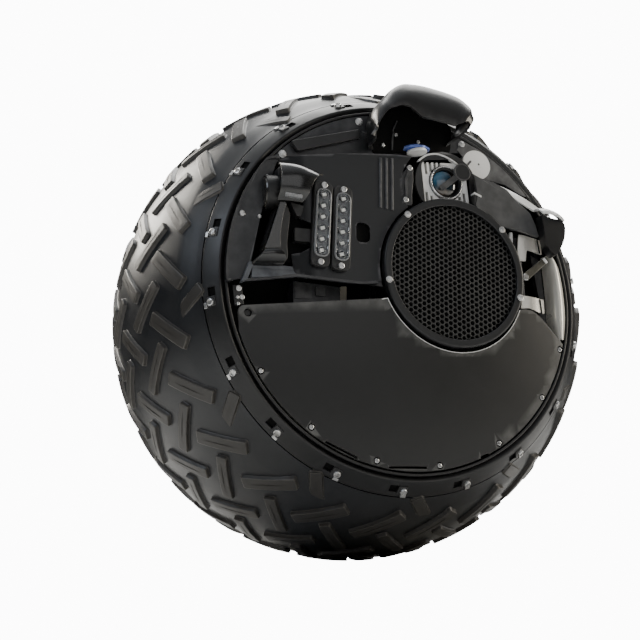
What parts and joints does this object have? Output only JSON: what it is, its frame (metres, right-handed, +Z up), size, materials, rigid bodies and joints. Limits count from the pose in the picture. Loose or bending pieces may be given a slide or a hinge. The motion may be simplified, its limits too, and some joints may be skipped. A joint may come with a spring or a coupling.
{
  "type": "spherical patrol robot",
  "caption": "Ball-shaped rolling robot: a treaded spherical tyre turning around two still side pods with speaker, lamps, camera and sensor hoods.",
  "frame": {"origin": "bottom centre of the ball, on the floor below the middle of the axle", "axes": "+X along the axle towards the left pod, -Y the driving direction, +Z up"},
  "size_m": [0.602, 0.7992, 0.7992],
  "materials": {
    "tyre_rubber": "matte moulded rubber",
    "satin_black_paint": "satin",
    "dark_grey_plate": "satin",
    "black_plastic": "fine texture",
    "stainless_steel": "brushed",
    "machined_aluminium": "machined",
    "lamp_lens": "clear",
    "bright_chrome": "polished",
    "battery_wrap": "shrink film",
    "cast_iron": "machined"
  },
  "bodies": {
    "chassis": {"left_hub_bearing": "stainless_steel", "right_hub_bearing": "stainless_steel", "main_axle": "stainless_steel", "chassis_frame": "machined_aluminium", "drive_motor": "black_plastic", "controller_box": "black_plastic", "swing_motor": "black_plastic", "left_pod_tub": "satin_black_paint", "left_lower_cover": "satin_black_paint", "left_speaker_driver": "black_plastic", "left_speaker_flange": "dark_grey_plate", "left_speaker_grille": "black_plastic", "left_light_plate": "dark_grey_plate", "left_wing_plate": "satin_black_paint", "left_front_hood": "satin_black_paint", "left_headlamp": "black_plastic", "left_camera_housing": "machined_aluminium", "left_top_hood": "satin_black_paint", "left_upper_panel": "satin_black_paint", "left_rear_plate": "dark_grey_plate", "left_rear_hood": "satin_black_paint", "left_clamp_bracket": "stainless_steel", "left_side_sensor": "bright_chrome", "left_front_led_bar": "lamp_lens", "left_rear_led_bar": "lamp_lens", "right_pod_tub": "satin_black_paint", "right_lower_cover": "satin_black_paint", "right_speaker_driver": "black_plastic", "right_speaker_flange": "dark_grey_plate", "right_speaker_grille": "black_plastic", "right_light_plate": "dark_grey_plate", "right_wing_plate": "satin_black_paint", "right_front_hood": "satin_black_paint", "right_headlamp": "black_plastic", "right_camera_housing": "machined_aluminium", "right_top_hood": "satin_black_paint", "right_upper_panel": "satin_black_paint", "right_rear_plate": "dark_grey_plate", "right_rear_hood": "satin_black_paint", "right_clamp_bracket": "stainless_steel", "right_side_sensor": "bright_chrome", "right_front_led_bar": "lamp_lens", "right_rear_led_bar": "lamp_lens"},
    "rolling_shell": {"tyre": "tyre_rubber", "left_flange_ring": "satin_black_paint", "right_flange_ring": "satin_black_paint", "left_shell_disc": "dark_grey_plate", "right_shell_disc": "dark_grey_plate", "drive_gear": "cast_iron"},
    "drive_pinion": {"drive_pinion": "stainless_steel"},
    "pendulum": {"pendulum_arm": "cast_iron", "front_battery": "battery_wrap", "rear_battery": "battery_wrap", "swing_gear": "cast_iron"},
    "swing_pinion": {"swing_pinion": "stainless_steel"},
    "left_wiper": {"left_wiper": "dark_grey_plate"},
    "right_wiper": {"right_wiper": "dark_grey_plate"},
    "left_latch": {"left_latch_lever": "dark_grey_plate"},
    "right_latch": {"right_latch_lever": "dark_grey_plate"}
  },
  "joints": [
    {"name": "shell_roll", "type": "hinge", "parent": "chassis", "child": "rolling_shell", "pos_m": [0, 0, 0.4], "axis": [1, 0, 0], "continuous": true},
    {"name": "drive_pinion_spin", "type": "hinge", "parent": "chassis", "child": "drive_pinion", "pos_m": [0.153, 0, 0.52], "axis": [1, 0, 0], "continuous": true},
    {"name": "pendulum_swing", "type": "hinge", "parent": "chassis", "child": "pendulum", "pos_m": [0, 0, 0.4], "axis": [0, 1, 0], "range_deg": [-18, 18]},
    {"name": "swing_pinion_spin", "type": "hinge", "parent": "chassis", "child": "swing_pinion", "pos_m": [0, -0.071, 0.472], "axis": [0, 1, 0], "range_deg": [-36, 36]},
    {"name": "left_wiper_sweep", "type": "hinge", "parent": "chassis", "child": "left_wiper", "pos_m": [0.258, 0.118, 0.592], "axis": [1, 0, 0], "range_deg": [-60, 15]},
    {"name": "left_latch_open", "type": "hinge", "parent": "chassis", "child": "left_latch", "pos_m": [0.25, 0.213, 0.417], "axis": [0, 0.5722, -0.8201], "range_deg": [0, 80]},
    {"name": "right_wiper_sweep", "type": "hinge", "parent": "chassis", "child": "right_wiper", "pos_m": [-0.258, 0.118, 0.592], "axis": [1, 0, 0], "range_deg": [-60, 15]},
    {"name": "right_latch_open", "type": "hinge", "parent": "chassis", "child": "right_latch", "pos_m": [-0.25, 0.213, 0.417], "axis": [0, -0.5722, 0.8201], "range_deg": [0, 80]}
  ],
  "couplings": [
    {"joint": "drive_pinion_spin", "follows": "shell_roll", "ratio": -2},
    {"joint": "swing_pinion_spin", "follows": "pendulum_swing", "ratio": -2}
  ]
}
